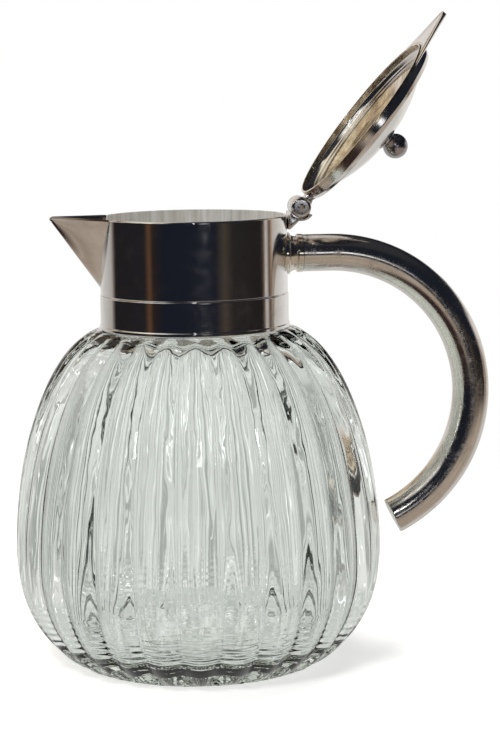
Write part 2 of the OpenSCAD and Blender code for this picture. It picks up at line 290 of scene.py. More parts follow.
def silver(name, tone, tarnish, wear=1.0, dull=0.05, dents=1.0, inner=None):
    """Polished silver plate: soft tarnish clouds, hairline scratches, pits and dull smears.

    inner paints the hollow side with its own tone, as painted light: (centre in mm, which axes count,
    radius in mm, painted tone, real tarnish, extra roughness, mattness); it holds nearer to the centre
    than the radius.
    """
    n = Nodes(name)
    clouds = n.ramp(n.noise(38, 6, 0.62, distortion=0.6), (0.42, 0.0), (0.78, 1.0))
    fine = n.ramp(n.noise(420, 3, 0.6), (0.35, 0.0), (0.75, 1.0))
    patina = n.math("MULTIPLY", clouds, n.math("ADD", n.math("MULTIPLY", fine, 0.45), 0.35))
    color = n.mix(n.math("MULTIPLY", patina, 0.55), tone, tarnish)
    inside = None
    if inner:
        centre, axes, radius, painted_inner_tone, inner_tarnish, inner_dull, matt = inner
        offset = n.node("ShaderNodeVectorMath", Vector=n.coordinates)
        offset.operation = "SUBTRACT"
        offset.inputs[1].default_value = [c * MM for c in centre]
        counted = n.node("ShaderNodeVectorMath", Vector=offset.outputs[0])
        counted.operation = "MULTIPLY"
        counted.inputs[1].default_value = axes
        distance = n.node("ShaderNodeVectorMath", Vector=counted.outputs[0])
        distance.operation = "LENGTH"
        inside = n.math("LESS_THAN", distance.outputs["Value"], radius * MM)
        brushed = n.ramp(n.noise(90, 5, 0.65, stretch=(3, 3, 0.25)), (0.38, 0.0), (0.64, 1.0))
        # The hollow side's tone is painted light: paler or warmer than the outside, standing in for
        # the light it catches.
        color = n.mix(inside, color, n.mix(brushed, painted_inner_tone, inner_tarnish))
    n.put(n.shader.inputs["Base Color"], color)
    n.shader.inputs["Metallic"].default_value = 1.0
    if inner and matt:
        n.put(n.shader.inputs["Metallic"], n.math("SUBTRACT", 1.0, n.math("MULTIPLY", inside, matt)))
    scratches = n.math(
        "MAXIMUM",
        n.ramp(n.noise(260, 2, 0.4, stretch=(14, 14, 0.5)), (0.60, 0.0), (0.66, 1.0)),
        n.ramp(n.noise(300, 2, 0.4, stretch=(0.6, 9, 16), distortion=0.3), (0.63, 0.0), (0.69, 1.0)),
    )
    pits = n.ramp(n.noise(1500, 2, 0.5), (0.66, 0.0), (0.74, 1.0))
    smear = n.ramp(n.noise(60, 5, 0.6, distortion=0.8), (0.3, 0.0), (0.8, 1.0))
    rough = n.math("ADD", n.math("MULTIPLY", smear, 0.07), dull)
    rough = n.math("ADD", rough, n.math("MULTIPLY", scratches, 0.05 * wear))
    rough = n.math("ADD", rough, n.math("MULTIPLY", patina, 0.08))
    haze = n.ramp(n.noise(170, 6, 0.7, distortion=0.4), (0.50, 0.0), (0.72, 1.0))
    rough = n.math("ADD", rough, n.math("MULTIPLY", n.math("MAXIMUM", haze, pits), 0.16 * wear))
    if inner:
        rough = n.math("ADD", rough, n.math("MULTIPLY", inside, inner_dull))
    n.put(n.shader.inputs["Roughness"], rough)
    waves = n.bump(n.noise(24, 2, 0.4), 0.25 * dents, 0.22)
    marks = n.bump(n.math("MAXIMUM", scratches, pits), 0.10 * wear, 0.02, waves)
    n.put(n.shader.inputs["Normal"], marks)
    return n.material


def clear_glass(name):
    """Pressed soda glass: clear, faintly green where thick, with the mould's soft waves."""
    n = Nodes(name)
    n.shader.inputs["Transmission Weight"].default_value = 1.0
    n.shader.inputs["IOR"].default_value = 1.5
    n.put(
        n.shader.inputs["Base Color"],
        n.mix(n.noise(16, 3), (0.985, 0.995, 0.99), (0.955, 0.98, 0.97)),
    )
    smear = n.ramp(n.noise(30, 4, 0.6), (0.55, 0.0), (0.85, 0.035))
    n.put(n.shader.inputs["Roughness"], smear)
    waves = n.bump(n.noise(42, 2, 0.45, stretch=(1, 1, 0.30)), 1.0, 0.9)
    ripple = n.bump(n.noise(115, 2, 0.5, stretch=(1, 1, 0.07)), 0.7, 0.22, waves)
    n.put(n.shader.inputs["Normal"], ripple)
    absorb = n.node("ShaderNodeVolumeAbsorption")
    absorb.inputs["Color"].default_value = (0.87, 0.92, 0.82, 1)
    absorb.inputs["Density"].default_value = 7.0
    output = n.tree.nodes["Material Output"]
    n.tree.links.new(absorb.outputs[0], output.inputs["Volume"])
    return n.material


def plaster(name):
    """Cement that sets the collar on the glass neck, with a painted glow in place of lamplight that
    the glass blocks.
    """
    n = Nodes(name)
    grain = n.noise(600, 6, 0.65)
    n.put(n.shader.inputs["Base Color"], n.mix(grain, (0.60, 0.56, 0.49), (0.83, 0.80, 0.74)))
    n.shader.inputs["Roughness"].default_value = 0.9
    # Painted light: the emission makes the cement glow, since lamplight blocked by the glass does not
    # reach it.
    n.shader.inputs["Emission Color"].default_value = (0.80, 0.82, 0.78, 1)
    n.shader.inputs["Emission Strength"].default_value = 0.45
    n.put(n.shader.inputs["Normal"], n.bump(grain, 0.6, 0.4))
    return n.material


TARNISH = (0.52, 0.42, 0.33)
# Inside the collar a paler tone is painted: painted light for the light falling into its mouth; the
# tarnish mixed in is real.
COLLAR_SILVER = silver("collar_silver", (0.88, 0.88, 0.88), TARNISH, wear=0.4, dents=0.6, inner=(
    (0, 0, 0), (1, 1, 0), SLEEVE_IN_R + 0.4, (1.0, 0.99, 0.96), (0.74, 0.71, 0.66), 0.10, 0.8,
))
SPOUT_SILVER = silver("spout_silver", (0.84, 0.81, 0.77), (0.38, 0.31, 0.25), dull=0.08, dents=1.6)
HANDLE_SILVER = silver("handle_silver", (0.87, 0.84, 0.79), (0.42, 0.34, 0.26), wear=1.4, dull=0.09)
FERRULE_SILVER = silver("ferrule_silver", (0.88, 0.83, 0.74), (0.50, 0.37, 0.22), wear=1.4, dull=0.07)
HINGE_SILVER = silver("hinge_silver", (0.84, 0.81, 0.79), (0.40, 0.33, 0.28), wear=1.3, dull=0.12)
# Inside the lid a warm golden tone is painted: a painted reflection of the warm wood it faces; the
# tarnish mixed in is real.
LID_SILVER = silver("lid_silver", (0.88, 0.86, 0.83), (0.56, 0.47, 0.38), dull=0.06, inner=(
    LID_CENTRE, (1, 1, 1), DOME_SPHERE_R - 0.5, (0.90, 0.83, 0.71), (0.50, 0.40, 0.27), 0.05, 0.0,
))
# The knob's silver is painted dark grey: painted shade standing in for the dark room the polished ball
# mirrors.
KNOB_SILVER = silver("knob_silver", (0.50, 0.49, 0.50), (0.26, 0.24, 0.23), dull=0.18)
PIN_METAL = silver("pin_metal", (0.66, 0.62, 0.58), (0.36, 0.28, 0.22), dull=0.2)
GLASS = clear_glass("jug_glass")
CEMENT = plaster("neck_plaster")

# --- Glass body ----------------------------------------------------------------------------

RIBS = 28
RIB_TURN = math.radians(-4.8)
RIB_DEPTH = 2.8
INNER_RIB_DEPTH = 0.35
RIPPLE = 0.16
RIPPLE_STEP = 3.4
POINTS_PER_RIB = 14
VALLEY_SOFTNESS = 0.10
INNER_SOFTNESS = 0.4
FLOOR_DOME = 3.0
GLASS_WALL = 4.5
GLASS_FLOOR = 11.0
BELLY_R = 93.4
BELLY_Z = 56.0
FOOT_R = 62.5
SHOULDER_Z = 169.8
NECK_R = 43.6
NECK_TOP_Z = GLASS_HIGH[2]
NECK_BORE_R = NECK_R - GLASS_WALL
SHOULDER_R = 46.0
SHOULDER_PULL_OUT = 28.0
SHOULDER_PULL_DOWN = 3.4
BELLY_PULL_UP = 51.0
BELLY_PULL_DOWN = 39.4
FOOT_PULL = 3.4
SHOULDER_CURVE = np.array([
    (SHOULDER_R, SHOULDER_Z),
    (SHOULDER_R + SHOULDER_PULL_OUT, SHOULDER_Z - SHOULDER_PULL_DOWN),
    (BELLY_R, BELLY_Z + BELLY_PULL_UP),
    (BELLY_R, BELLY_Z),
])
FOOT_CURVE = np.array([
    (BELLY_R, BELLY_Z), (BELLY_R, BELLY_Z - BELLY_PULL_DOWN), (FOOT_R + FOOT_PULL, 0), (FOOT_R, 0),
])


def bezier(curve, t):
    """Points and outward normals along a cubic that runs down the outside of the glass."""
    t = t[:, None]
    place = (
        (1 - t) ** 3 * curve[0] + 3 * (1 - t) ** 2 * t * curve[1]
        + 3 * (1 - t) * t**2 * curve[2] + t**3 * curve[3]
    )
    slope = (
        (1 - t) ** 2 * (curve[1] - curve[0]) + 2 * (1 - t) * t * (curve[2] - curve[1])
        + t**2 * (curve[3] - curve[2])
    )
    slope /= np.linalg.norm(slope, axis=1)[:, None]
    return place, np.stack([-slope[:, 1], slope[:, 0]], axis=1)


def smooth_step(x):
    k = np.clip(x, 0, 1)
    return k * k * (3 - 2 * k)


def glass_rows(shoulder_rows, foot_rows):
    """Outline points, normals and the ribs' strength, from the shoulder to the foot."""
    t = np.arange(shoulder_rows) / shoulder_rows
    upper, upper_normal = bezier(SHOULDER_CURVE, t)
    upper_strength = smooth_step((t - 0.02) / 0.16)
    s = np.arange(foot_rows + 1) / foot_rows
    lower, lower_normal = bezier(FOOT_CURVE, s)
    lower_strength = smooth_step((1 - s) / 0.07)
    return (
        np.concatenate([upper, lower]),
        np.concatenate([upper_normal, lower_normal]),
        np.concatenate([upper_strength, lower_strength]),
    )


def ribbed_ring(place, normal, depth, columns, soft):
    """One ring of points; depth moves the valleys in along the normal."""
    angle = RIB_TURN + np.arange(columns) * 2 * math.pi / columns
    wave = np.cos(RIBS * (angle - RIB_TURN) / 2)
    valley = 1 - np.sqrt(wave**2 + soft**2) / math.sqrt(1 + soft**2)
    r = place[0] - normal[0] * depth * valley
    z = place[1] - normal[1] * depth * valley
    return np.stack([r * np.cos(angle), r * np.sin(angle), z], axis=1)


def glass_jug():
    """The ribbed glass: outside with sharp valleys, a softer inside and a thick floor."""
    columns = RIBS * POINTS_PER_RIB
    rings = []
    flat = np.array([0.0, 0.0])
    for z in (NECK_TOP_Z, SHOULDER_Z + 1.5):
        rings.append(ribbed_ring(np.array([NECK_R, z]), flat, 0, columns, 1))
    places, normals, strengths = glass_rows(44, 50)
    for place, normal, strength in zip(places, normals, strengths):
        rings.append(ribbed_ring(place, normal, RIB_DEPTH * strength, columns, VALLEY_SOFTNESS))
    for r in (FOOT_R - 8, FOOT_R - 36, 0):
        rings.append(ribbed_ring(np.array([r, 0.0]), flat, 0, columns, 1))
    # Inside, from the middle of the floor up to the neck: the floor rises to a low dome
    for r in np.linspace(0, FOOT_R - 4, 12):
        rise = FLOOR_DOME * (1 - smooth_step(np.array(r / (FOOT_R - 12))))
        rings.append(ribbed_ring(np.array([r, GLASS_FLOOR + rise]), flat, 0, columns, 1))
    places, normals, strengths = glass_rows(30, 90)
    floor, corner = GLASS_FLOOR + 0.5, 6.0
    for place, normal, strength in reversed(list(zip(places, normals, strengths))[1:-13]):
        inside = place - normal * (GLASS_WALL + 0.6)
        if inside[1] < floor + corner:
            inside[1] = floor + corner * math.exp((inside[1] - floor - corner) / corner)
        if inside[0] < NECK_BORE_R + 0.3:
            continue
        low = 1 - smooth_step(np.array((inside[1] - 16) / 26))
        inside = inside - normal * RIPPLE * low * math.sin(2 * math.pi * inside[1] / RIPPLE_STEP)
        rings.append(ribbed_ring(inside, normal, INNER_RIB_DEPTH * strength, columns, INNER_SOFTNESS))
    for z in (SHOULDER_Z - 4, NECK_TOP_Z - 1.5, NECK_TOP_Z):
        rings.append(ribbed_ring(np.array([NECK_BORE_R, z]), flat, 0, columns, 1))
    points = np.concatenate(rings)
    faces = grid_faces(len(rings), columns, True, True)
    return make_piece("glass_jug", points, faces, GLASS, "pitcher", "glass_body", 50)


# --- Collar --------------------------------------------------------------------------------


def cement_ring():
    outline = fillet([
        (SLEEVE_IN_R - 0.05, CEMENT_LOW[2]), (SLEEVE_IN_R - 0.05, CEMENT_HIGH[2], 0.4),
        (NECK_R + 0.05, CEMENT_HIGH[2] - 0.4, 0.4), (NECK_R + 0.05, CEMENT_LOW[2]),
    ])
    points, faces = revolve(outline)
    return make_piece("cement_ring", points, faces, CEMENT, "pitcher", "neck_cement")


def base_band():
    band_r = COLLAR_R + 0.35
    outline = fillet([
        (SLEEVE_IN_R, SEAM_Z), (SLEEVE_IN_R, BAND_Z + 1.2), (band_r - 0.7, BAND_Z + 0.2, 0.3),
        (band_r + 0.5, BAND_Z + 0.1, 0.6), (band_r + 0.5, BAND_Z + 1.9, 0.5),
        (band_r, BAND_Z + 2.3, 0.4), (band_r, SEAM_Z - 0.1, 0.5), (band_r - 1.0, SEAM_Z, 0.1),
    ])
    points, faces = revolve(outline, 288)
    return make_piece("base_band", points, faces, COLLAR_SILVER, "pitcher", "collar_base_band")


SPOUT_REACH = -SPOUT_LOW[0]
SPOUT_HALF_ANGLE = math.asin(SPOUT_HIGH[1] / COLLAR_R)
SPOUT_DROP = 1.0
SPOUT_SHEET = 1.0
SPOUT_HOLLOW = 0.9
KEEL_ROUNDING = math.radians(1.6)
SPOUT_TIP = np.array([-SPOUT_REACH, 0.0, RIM_Z])
SPOUT_KEEL = np.array([-COLLAR_R, 0.0, SEAM_Z + 0.6])
SPOUT_JOINT = np.array([
    -COLLAR_R * math.cos(SPOUT_HALF_ANGLE), -COLLAR_R * math.sin(SPOUT_HALF_ANGLE),
    RIM_Z - SPOUT_DROP,
])


def seam_height(angle):
    """Height at which the spout's side sheet meets the collar, angle from the spout's middle."""
    turned = math.sqrt(angle**2 + KEEL_ROUNDING**2)
    turned = min(turned, SPOUT_HALF_ANGLE)
    normal = np.cross(SPOUT_KEEL - SPOUT_TIP, SPOUT_JOINT - SPOUT_TIP)
    x, y = -COLLAR_R * math.cos(turned), -COLLAR_R * math.sin(turned)
    offset = normal[0] * (x - SPOUT_TIP[0]) + normal[1] * (y - SPOUT_TIP[1])
    return SPOUT_TIP[2] - offset / normal[2]


def sleeve():
    """The upper band: round, with a soft rim and a V-shaped opening behind the spout."""
    side = fillet([
        (SLEEVE_IN_R, SEAM_Z), (COLLAR_R - 0.5, SEAM_Z, 0.1), (COLLAR_R, SEAM_Z + 0.6, 0.3),
        (COLLAR_R + 0.08, RIM_Z - 0.6, 0.7), (COLLAR_R - 0.5, RIM_Z, 0.4),
        (SLEEVE_IN_R, RIM_Z, 0.3), (SLEEVE_IN_R, RIM_Z - 1.5),
    ])
    opening = np.linspace(-SPOUT_HALF_ANGLE, SPOUT_HALF_ANGLE, 97)
    rest = np.linspace(opening[-1], 2 * math.pi - opening[-1], 300)[1:-1]
    columns = []
    for angle in np.concatenate([opening, rest]):
        top = RIM_Z
        if abs(angle) <= SPOUT_HALF_ANGLE * 0.9999:
            top = seam_height(angle)
        share = max(0.01, (top - SEAM_Z) / (RIM_Z - SEAM_Z))
        turn = math.pi + angle
        columns.append([
            (r * math.cos(turn), r * math.sin(turn), SEAM_Z + (z - SEAM_Z) * share) for r, z in side
        ])
    points = np.array(columns).reshape(-1, 3)
    faces = grid_faces(len(columns), len(side), True, True)
    return make_piece("sleeve", points, faces, COLLAR_SILVER, "pitcher", "collar_sleeve")


def pouring_spout():
    """Two thin sheets that run from the tip to the collar and meet in a rounded keel."""
    across, along = 65, 40
    angles = np.sin(np.linspace(-math.pi / 2, math.pi / 2, across)) * SPOUT_HALF_ANGLE
    outer = np.zeros((along, across, 3))
    for j, angle in enumerate(angles):
        seam = np.array([-COLLAR_R * math.cos(angle), COLLAR_R * math.sin(angle), seam_height(angle)])
        for i in range(along):
            u = 0.015 + 0.985 * i / (along - 1)
            outer[i, j] = SPOUT_TIP + u * (seam - SPOUT_TIP)
    side = np.sign(angles)[None, :, None]
    share = np.abs(angles)[None, :, None] / SPOUT_HALF_ANGLE
    u = np.linspace(0, 1, along)[:, None, None]
    hollow = SPOUT_HOLLOW * np.sin(math.pi * share) * np.sin(math.pi * u) ** 0.8
    outer += hollow * np.concatenate([0.45 + 0 * side, -side, 0.35 + 0 * side], axis=2)
    # The inside is the same shape, moved in by the sheet's thickness
    across_slope = np.gradient(outer, axis=1)
    along_slope = np.gradient(outer, axis=0)
    normal = np.cross(across_slope, along_slope)
    normal /= np.linalg.norm(normal, axis=2)[:, :, None] + 1e-12
    if normal[along // 2, across // 2] @ np.array([1.0, 0, 1.0]) < 0:
        normal = -normal
    reach = np.abs(outer[:, :, 1:2]) * 0.9 + 0.05
    thick = np.minimum(SPOUT_SHEET, np.maximum(reach, 0.25 * SPOUT_SHEET))
    thick = np.broadcast_to(thick.max(axis=1)[:, None, :], outer.shape[:2] + (1,))
    inner = outer + normal * thick
    points = np.concatenate([outer.reshape(-1, 3), inner.reshape(-1, 3)])
    faces = grid_faces(along, across, False, False)
    shift = along * across
    faces += [tuple(shift + k for k in reversed(face)) for face in faces]
    border = list(range(across))
    border += [i * across + across - 1 for i in range(1, along)]
    border += [(along - 1) * across + j for j in range(across - 2, -1, -1)]
    border += [i * across for i in range(along - 2, 0, -1)]
    faces += [(a, b, b + shift, a + shift) for a, b in zip(border, border[1:] + border[:1])]
    return make_piece(
        "pouring_spout", points, faces, SPOUT_SILVER, "pitcher", "spout", 38,
    )


# --- Handle --------------------------------------------------------------------------------

TUBE_R = TUBE_HIGH[1]
TUBE_WALL = 1.2
TUBE_X = TUBE_LOW[0]
HANDLE_Z = TUBE_HIGH[2] - TUBE_R
BEND_R = 72.5
BEND_X = TUBE_HIGH[0] - TUBE_R - BEND_R
BEND_Z = HANDLE_Z - BEND_R
BEND_END = math.radians(64.4)
CAP_LENGTH = 1.6


def handle_line(steps):
    """Middle points and directions of the tube, from the ferrule to the free end."""
    line = [(TUBE_X + (BEND_X - TUBE_X) * k / 5, HANDLE_Z, 1.0, 0.0) for k in range(5)]
    end = -(BEND_END - CAP_LENGTH / BEND_R)
    for angle in np.linspace(math.pi / 2, end, steps):
        c, s = math.cos(angle), math.sin(angle)
        line.append((BEND_X + BEND_R * c, BEND_Z + BEND_R * s, s, -c))
    return line


def handle():
    around = 72
    turns = np.arange(around) * 2 * math.pi / around
    line = handle_line(110)
    rings = []
    stretches = [(TUBE_R, line), (TUBE_R - TUBE_WALL, line[::-1])]
    for radius, stations in stretches:
        for x, z, dx, dz in stations:
            side = np.sin(turns) * radius
            out = np.cos(turns) * radius
            rings.append(np.stack([x - dz * out, side, z + dx * out], axis=1))
    points = np.concatenate(rings)
    faces = grid_faces(len(rings), around, True, True)
    return make_piece("handle", points, faces, HANDLE_SILVER, "pitcher", "handle_tube")


def handle_cap():
    """The flat disc soldered into the free end, with a rounded edge."""
    outline = fillet([
        (0, -2), (TUBE_R - TUBE_WALL - 0.1, -2), (TUBE_R - TUBE_WALL - 0.1, 0),
        (TUBE_R, 0.0, 0.1), (TUBE_R, CAP_LENGTH, 0.9), (0, CAP_LENGTH),
    ], 7)
    points, faces = revolve(outline, 96)
    angle = -(BEND_END - CAP_LENGTH / BEND_R)
    c, s = math.cos(angle), math.sin(angle)
    base = (BEND_X + BEND_R * c, 0, BEND_Z + BEND_R * s)
    points = about_axis(points, base, (s, 0, -c))
    return make_piece(
        "handle_cap", points, faces, HANDLE_SILVER, "pitcher", "handle_end_cap",
    )


def ferrule():
    """Turned socket: a flare that fits the round collar, a groove and a ring."""
    flare_r = TUBE_R + 1.3
    start = COLLAR_R
    outline = fillet([
        (0, start - 0.2), (flare_r, start - 0.2), (flare_r, start + 1.1, 0.5),
        (flare_r - 1.0, start + 1.7, 0.5), (TUBE_R - 0.5, start + 2.8, 1.2),
        (TUBE_R - 0.8, start + 4.3, 0.3), (TUBE_R - 0.8, start + 4.7, 0.15),
        (TUBE_R + 0.3, start + 4.9, 0.7), (TUBE_R + 0.3, TUBE_X - 0.2, 0.7),
        (TUBE_R - 0.3, TUBE_X), (0, TUBE_X),
    ])
    points, faces = revolve(outline, 120)
    points = about_axis(points, (0, 0, HANDLE_Z), (1, 0, 0))
    sag = COLLAR_R - np.sqrt(np.maximum(COLLAR_R**2 - points[:, 1] ** 2, 0))
    share = 1 - smooth_step((points[:, 0] - start) / 3.5)
    points[:, 0] -= (sag + 0.05) * share
    return make_piece("ferrule", points, faces, FERRULE_SILVER, "pitcher", "handle_ferrule")


# --- Hinge ---------------------------------------------------------------------------------

KNUCKLE_R = (LID_KNUCKLE_HIGH[2] - LID_KNUCKLE_LOW[2]) / 2
LID_KNUCKLE_HALF = LID_KNUCKLE_HIGH[1]
PIN_HEAD = 0.6
BARREL_HALF = PIN_HIGH[1] - PIN_HEAD
KNUCKLE_PLAY = 0.35
CRADLE_ROOM = 0.2
STRAP_SHEET = 1.1
PIN_R = 1.5


def knuckle_rings(y_low, y_high, bore_r, low_rounding=0.5, high_rounding=0.5):
    """A knuckle about the pin's axis, with softly rounded ends."""
    outline = fillet([
        (bore_r, y_low, 0.15), (KNUCKLE_R, y_low, low_rounding), (KNUCKLE_R, y_high, high_rounding),
        (bore_r, y_high, 0.15),
    ], 10)
    points, faces = revolve(outline, 72)
    return about_axis(points, (HINGE_X, 0, HINGE_Z), (0, 1, 0)), faces


def fixed_knuckles():
    inner = LID_KNUCKLE_HALF + KNUCKLE_PLAY
    near, faces = knuckle_rings(-BARREL_HALF, -inner, PIN_R + 0.01, low_rounding=2.6)
    far = knuckle_rings(inner, BARREL_HALF, PIN_R + 0.01, high_rounding=2.6)[0]
    points = np.concatenate([near, far])
    faces = faces + [tuple(len(near) + k for k in face) for face in faces]
    return make_piece(
        "collar_knuckles", points, faces, HINGE_SILVER, "pitcher", "fixed_knuckles",
    )


def lid_knuckle():
    points, faces = knuckle_rings(-LID_KNUCKLE_HALF, LID_KNUCKLE_HALF, PIN_R + 0.05)
    return make_piece("lid_barrel", points, faces, HINGE_SILVER, "lid", "lid_knuckle")


def hinge_pin():
    head_r = PIN_R + 0.3
    end = BARREL_HALF
    outline = fillet([
        (0, -end - PIN_HEAD), (head_r * 0.6, -end - PIN_HEAD, 0.2), (head_r, -end - 0.15, 0.25),
        (head_r, -end), (PIN_R, -end), (PIN_R, end), (head_r, end), (head_r, end + 0.15, 0.25),
        (head_r * 0.6, end + PIN_HEAD, 0.2), (0, end + PIN_HEAD),
    ])
    points, faces = revolve(outline, 48)
    points = about_axis(points, (HINGE_X, 0, HINGE_Z), (0, 1, 0))
    return make_piece("hinge_rivet", points, faces, PIN_METAL, "pitcher", "hinge_pin")


def arc(center, radius, start, end, steps):
    """Points of an arc in the XZ plane, angles in degrees from +X towards +Z."""
    angles = np.radians(np.linspace(start, end, steps))
    return [(center[0] + radius * math.cos(a), center[1] + radius * math.sin(a)) for a in angles]


def bracket():
    """Strap from the collar's wall up round the underside of the barrel."""
    foot_z = RIM_Z - 7.5
    cradle = KNUCKLE_R + KNUCKLE_PLAY + CRADLE_ROOM
    outline = [(COLLAR_R - 0.1, foot_z), (COLLAR_R + 0.9, foot_z)]
    outline += arc((HINGE_X, HINGE_Z), cradle + STRAP_SHEET, -100, -35, 8)
    outline += arc((HINGE_X, HINGE_Z), cradle, -35, -158, 14)
    outline += [(COLLAR_R - 0.1, RIM_Z - 3.4)]
    return prism(
        outline, -BARREL_HALF + 0.3, BARREL_HALF - 0.3, 0.25, "hinge_strap", HINGE_SILVER,
        "pitcher", "hinge_bracket",
    )


# --- Lid, drawn closed and then turned open ------------------------------------------------

def dome_height(r):
    return LID_DOME_H - DOME_SPHERE_R + math.sqrt(DOME_SPHERE_R**2 - r**2)


def lid_shell():
    """Spun lid: a turned-down edge, a small cove and a shallow dome, one sheet thick."""
    steps = 40
    radii = [DOME_R * (1 - k / steps) for k in range(steps + 1)]
    outline = [
        (COLLAR_R, 0.1, 0.3), (COLLAR_R + 0.1, LID_EDGE_H + 0.4, 1.6),
        (COLLAR_R - 1.6, LID_EDGE_H + 2.6, 1.4), (DOME_R + 1.0, LID_COVE_H + 0.1, 0.4),
    ]
    outline += [(r, dome_height(r)) for r in radii]
    outline += [(r, dome_height(r) - DOME_SHEET) for r in radii[:4:-1]]
    outline += [
        (DOME_R - 0.6, LID_COVE_H - 1.0, 1.2), (COLLAR_R - 2.9, LID_EDGE_H + 1.4, 3.0),
        (COLLAR_R - SHEET - 0.1, LID_EDGE_H - 1.0, 1.4), (COLLAR_R - SHEET, 0.1, 0.4),
    ]
    points, faces = revolve(fillet(outline), 256)
    points = opened(points + np.array([0, 0, LID_Z]))
    return make_piece("lid_dome", points, faces, LID_SILVER, "lid", "lid_shell", 40)


FLAP_LENGTH = 20.4
FLAP_TIP_R = 8.0
FLAP_THICKNESS = 2.4
FLAP_RISE = 0.3
FLAP_CROWN = 0.5


def flap_outline():
    """Half outline of the flap in plan: along the tangent from the lid's edge, then round the tip."""
    tip_x = COLLAR_R + FLAP_LENGTH - FLAP_TIP_R
    side = math.acos((COLLAR_R - FLAP_TIP_R) / tip_x)
    start = np.array([COLLAR_R * math.cos(side), COLLAR_R * math.sin(side)])
    end = np.array([tip_x + FLAP_TIP_R * math.cos(side), FLAP_TIP_R * math.sin(side)])
    line = [start + (end - start) * k / 24 for k in range(24)]
    tip = [
        np.array([tip_x + FLAP_TIP_R * math.cos(a), FLAP_TIP_R * math.sin(a)])
        for a in np.linspace(side, 0, 17)
    ]
    return np.array(line + tip)


def flap():
    """Flap over the spout: a thin, slightly crowned plate with soft edges."""
    half = flap_outline()
    across = np.sin(np.linspace(-math.pi / 2, math.pi / 2, 33))
    top, bottom = [], []
    for x, y in half:
        for v in across:
            width = y * v
            rim_x = math.sqrt(COLLAR_R**2 - width**2) - 0.3
            place_x = max(x, rim_x)
            rounding = math.sqrt(max(0.0, 1 - abs(v) ** 10))
            crown = FLAP_CROWN * (1 - v * v)
            middle = LID_Z + FLAP_RISE + FLAP_THICKNESS / 2 + crown
            top.append((-place_x, width, middle + FLAP_THICKNESS / 2 * rounding))
            bottom.append((-place_x, width, middle - FLAP_THICKNESS / 2 * rounding))
    rows, columns = len(half), len(across)
    faces = grid_faces(rows, columns, False, False)
    shift = rows * columns
    faces += [tuple(shift + k for k in reversed(face)) for face in faces]
    faces += [(j, j + 1, shift + j + 1, shift + j) for j in range(columns - 1)]
    points = opened(np.array(top + bottom))
    return make_piece("spout_flap", points, faces, LID_SILVER, "lid", "lid_flap", 60)


def leaf():
    """Leaf from the lid's knuckle over the lid's edge, soldered to its shoulder."""
    outline = [(COLLAR_R - 0.6, LID_Z + 1.9), (HINGE_X - 4.2, LID_Z + 2.1), (HINGE_X - 1.5, HINGE_Z)]
    outline += arc((HINGE_X, HINGE_Z), KNUCKLE_R - 0.1, 95, 118, 4)
    outline += [
        (COLLAR_R, LID_Z + LID_EDGE_H + 1.7), (COLLAR_R - 5.0, LID_Z + LID_EDGE_H + 4.1),
        (DOME_R, LID_Z + LID_COVE_H + 1.6), (DOME_R - 4.0, LID_Z + dome_height(DOME_R - 4.0) + 0.8),
        (DOME_R - 5.0, LID_Z + dome_height(DOME_R - 5.0) - 0.2),
        (DOME_R, LID_Z + LID_COVE_H - 0.4), (COLLAR_R - 4.5, LID_Z + LID_EDGE_H + 1.6),
    ]
    return prism(
        outline, -LID_KNUCKLE_HALF + 0.1, LID_KNUCKLE_HALF - 0.1, 0.3, "hinge_leaf", HINGE_SILVER,
        "lid", "lid_leaf", opened,
    )


STUD_R = 1.6
WASHER_R = 5.5
WASHER_H = 1.2
BALL_R = 6.3
BALL_H = 23.3


def turned_lid_part(name, outline, material, node, columns=96):
    points, faces = revolve(outline, columns)
    points = opened(points + np.array([0, 0, LID_Z]))
    return make_piece(name, points, faces, material, "lid", node)


def knob():
    """Washer, ball and riveted stud in the middle of the dome."""
    washer = fillet([
        (STUD_R, LID_DOME_H - 0.3), (WASHER_R, LID_DOME_H - 0.3),
        (WASHER_R, LID_DOME_H + WASHER_H - 0.5, 0.5), (WASHER_R - 0.9, LID_DOME_H + WASHER_H, 0.3),
        (STUD_R, LID_DOME_H + WASHER_H),
    ])
    turned_lid_part("knob_foot", washer, LID_SILVER, "knob_washer")
    cut = LID_DOME_H + WASHER_H - BALL_H
    start = math.asin(cut / BALL_R)
    ball = [(0.0, BALL_H + cut)]
    ball += [
        (BALL_R * math.cos(a), BALL_H + BALL_R * math.sin(a))
        for a in np.linspace(start, math.pi / 2, 40)
    ]
    turned_lid_part("knob_ball_top", np.array(ball), KNOB_SILVER, "knob_ball")
    stud = fillet([
        (0, LID_DOME_H - 1.9), (STUD_R + 0.7, LID_DOME_H - 1.9, 0.4),
        (STUD_R + 1.4, LID_DOME_H - 1.35, 0.2), (STUD_R + 1.4, LID_DOME_H - 1.06),
        (STUD_R - 0.1, LID_DOME_H - 1.0), (STUD_R - 0.1, BALL_H - 1), (0, BALL_H - 1),
    ])
    turned_lid_part("knob_rivet", stud, LID_SILVER, "knob_stud", 64)


# --- Studio --------------------------------------------------------------------------------

CAMERA_DISTANCE = 1.0596
CAMERA_SIDE = math.radians(4.8)
CAMERA_ABOVE_RIM = 0.0732
CAMERA_YAW = 0.026 + CAMERA_SIDE
CAMERA_PITCH = 0.145
CAMERA_ROLL = -0.014
LENS = 101.05


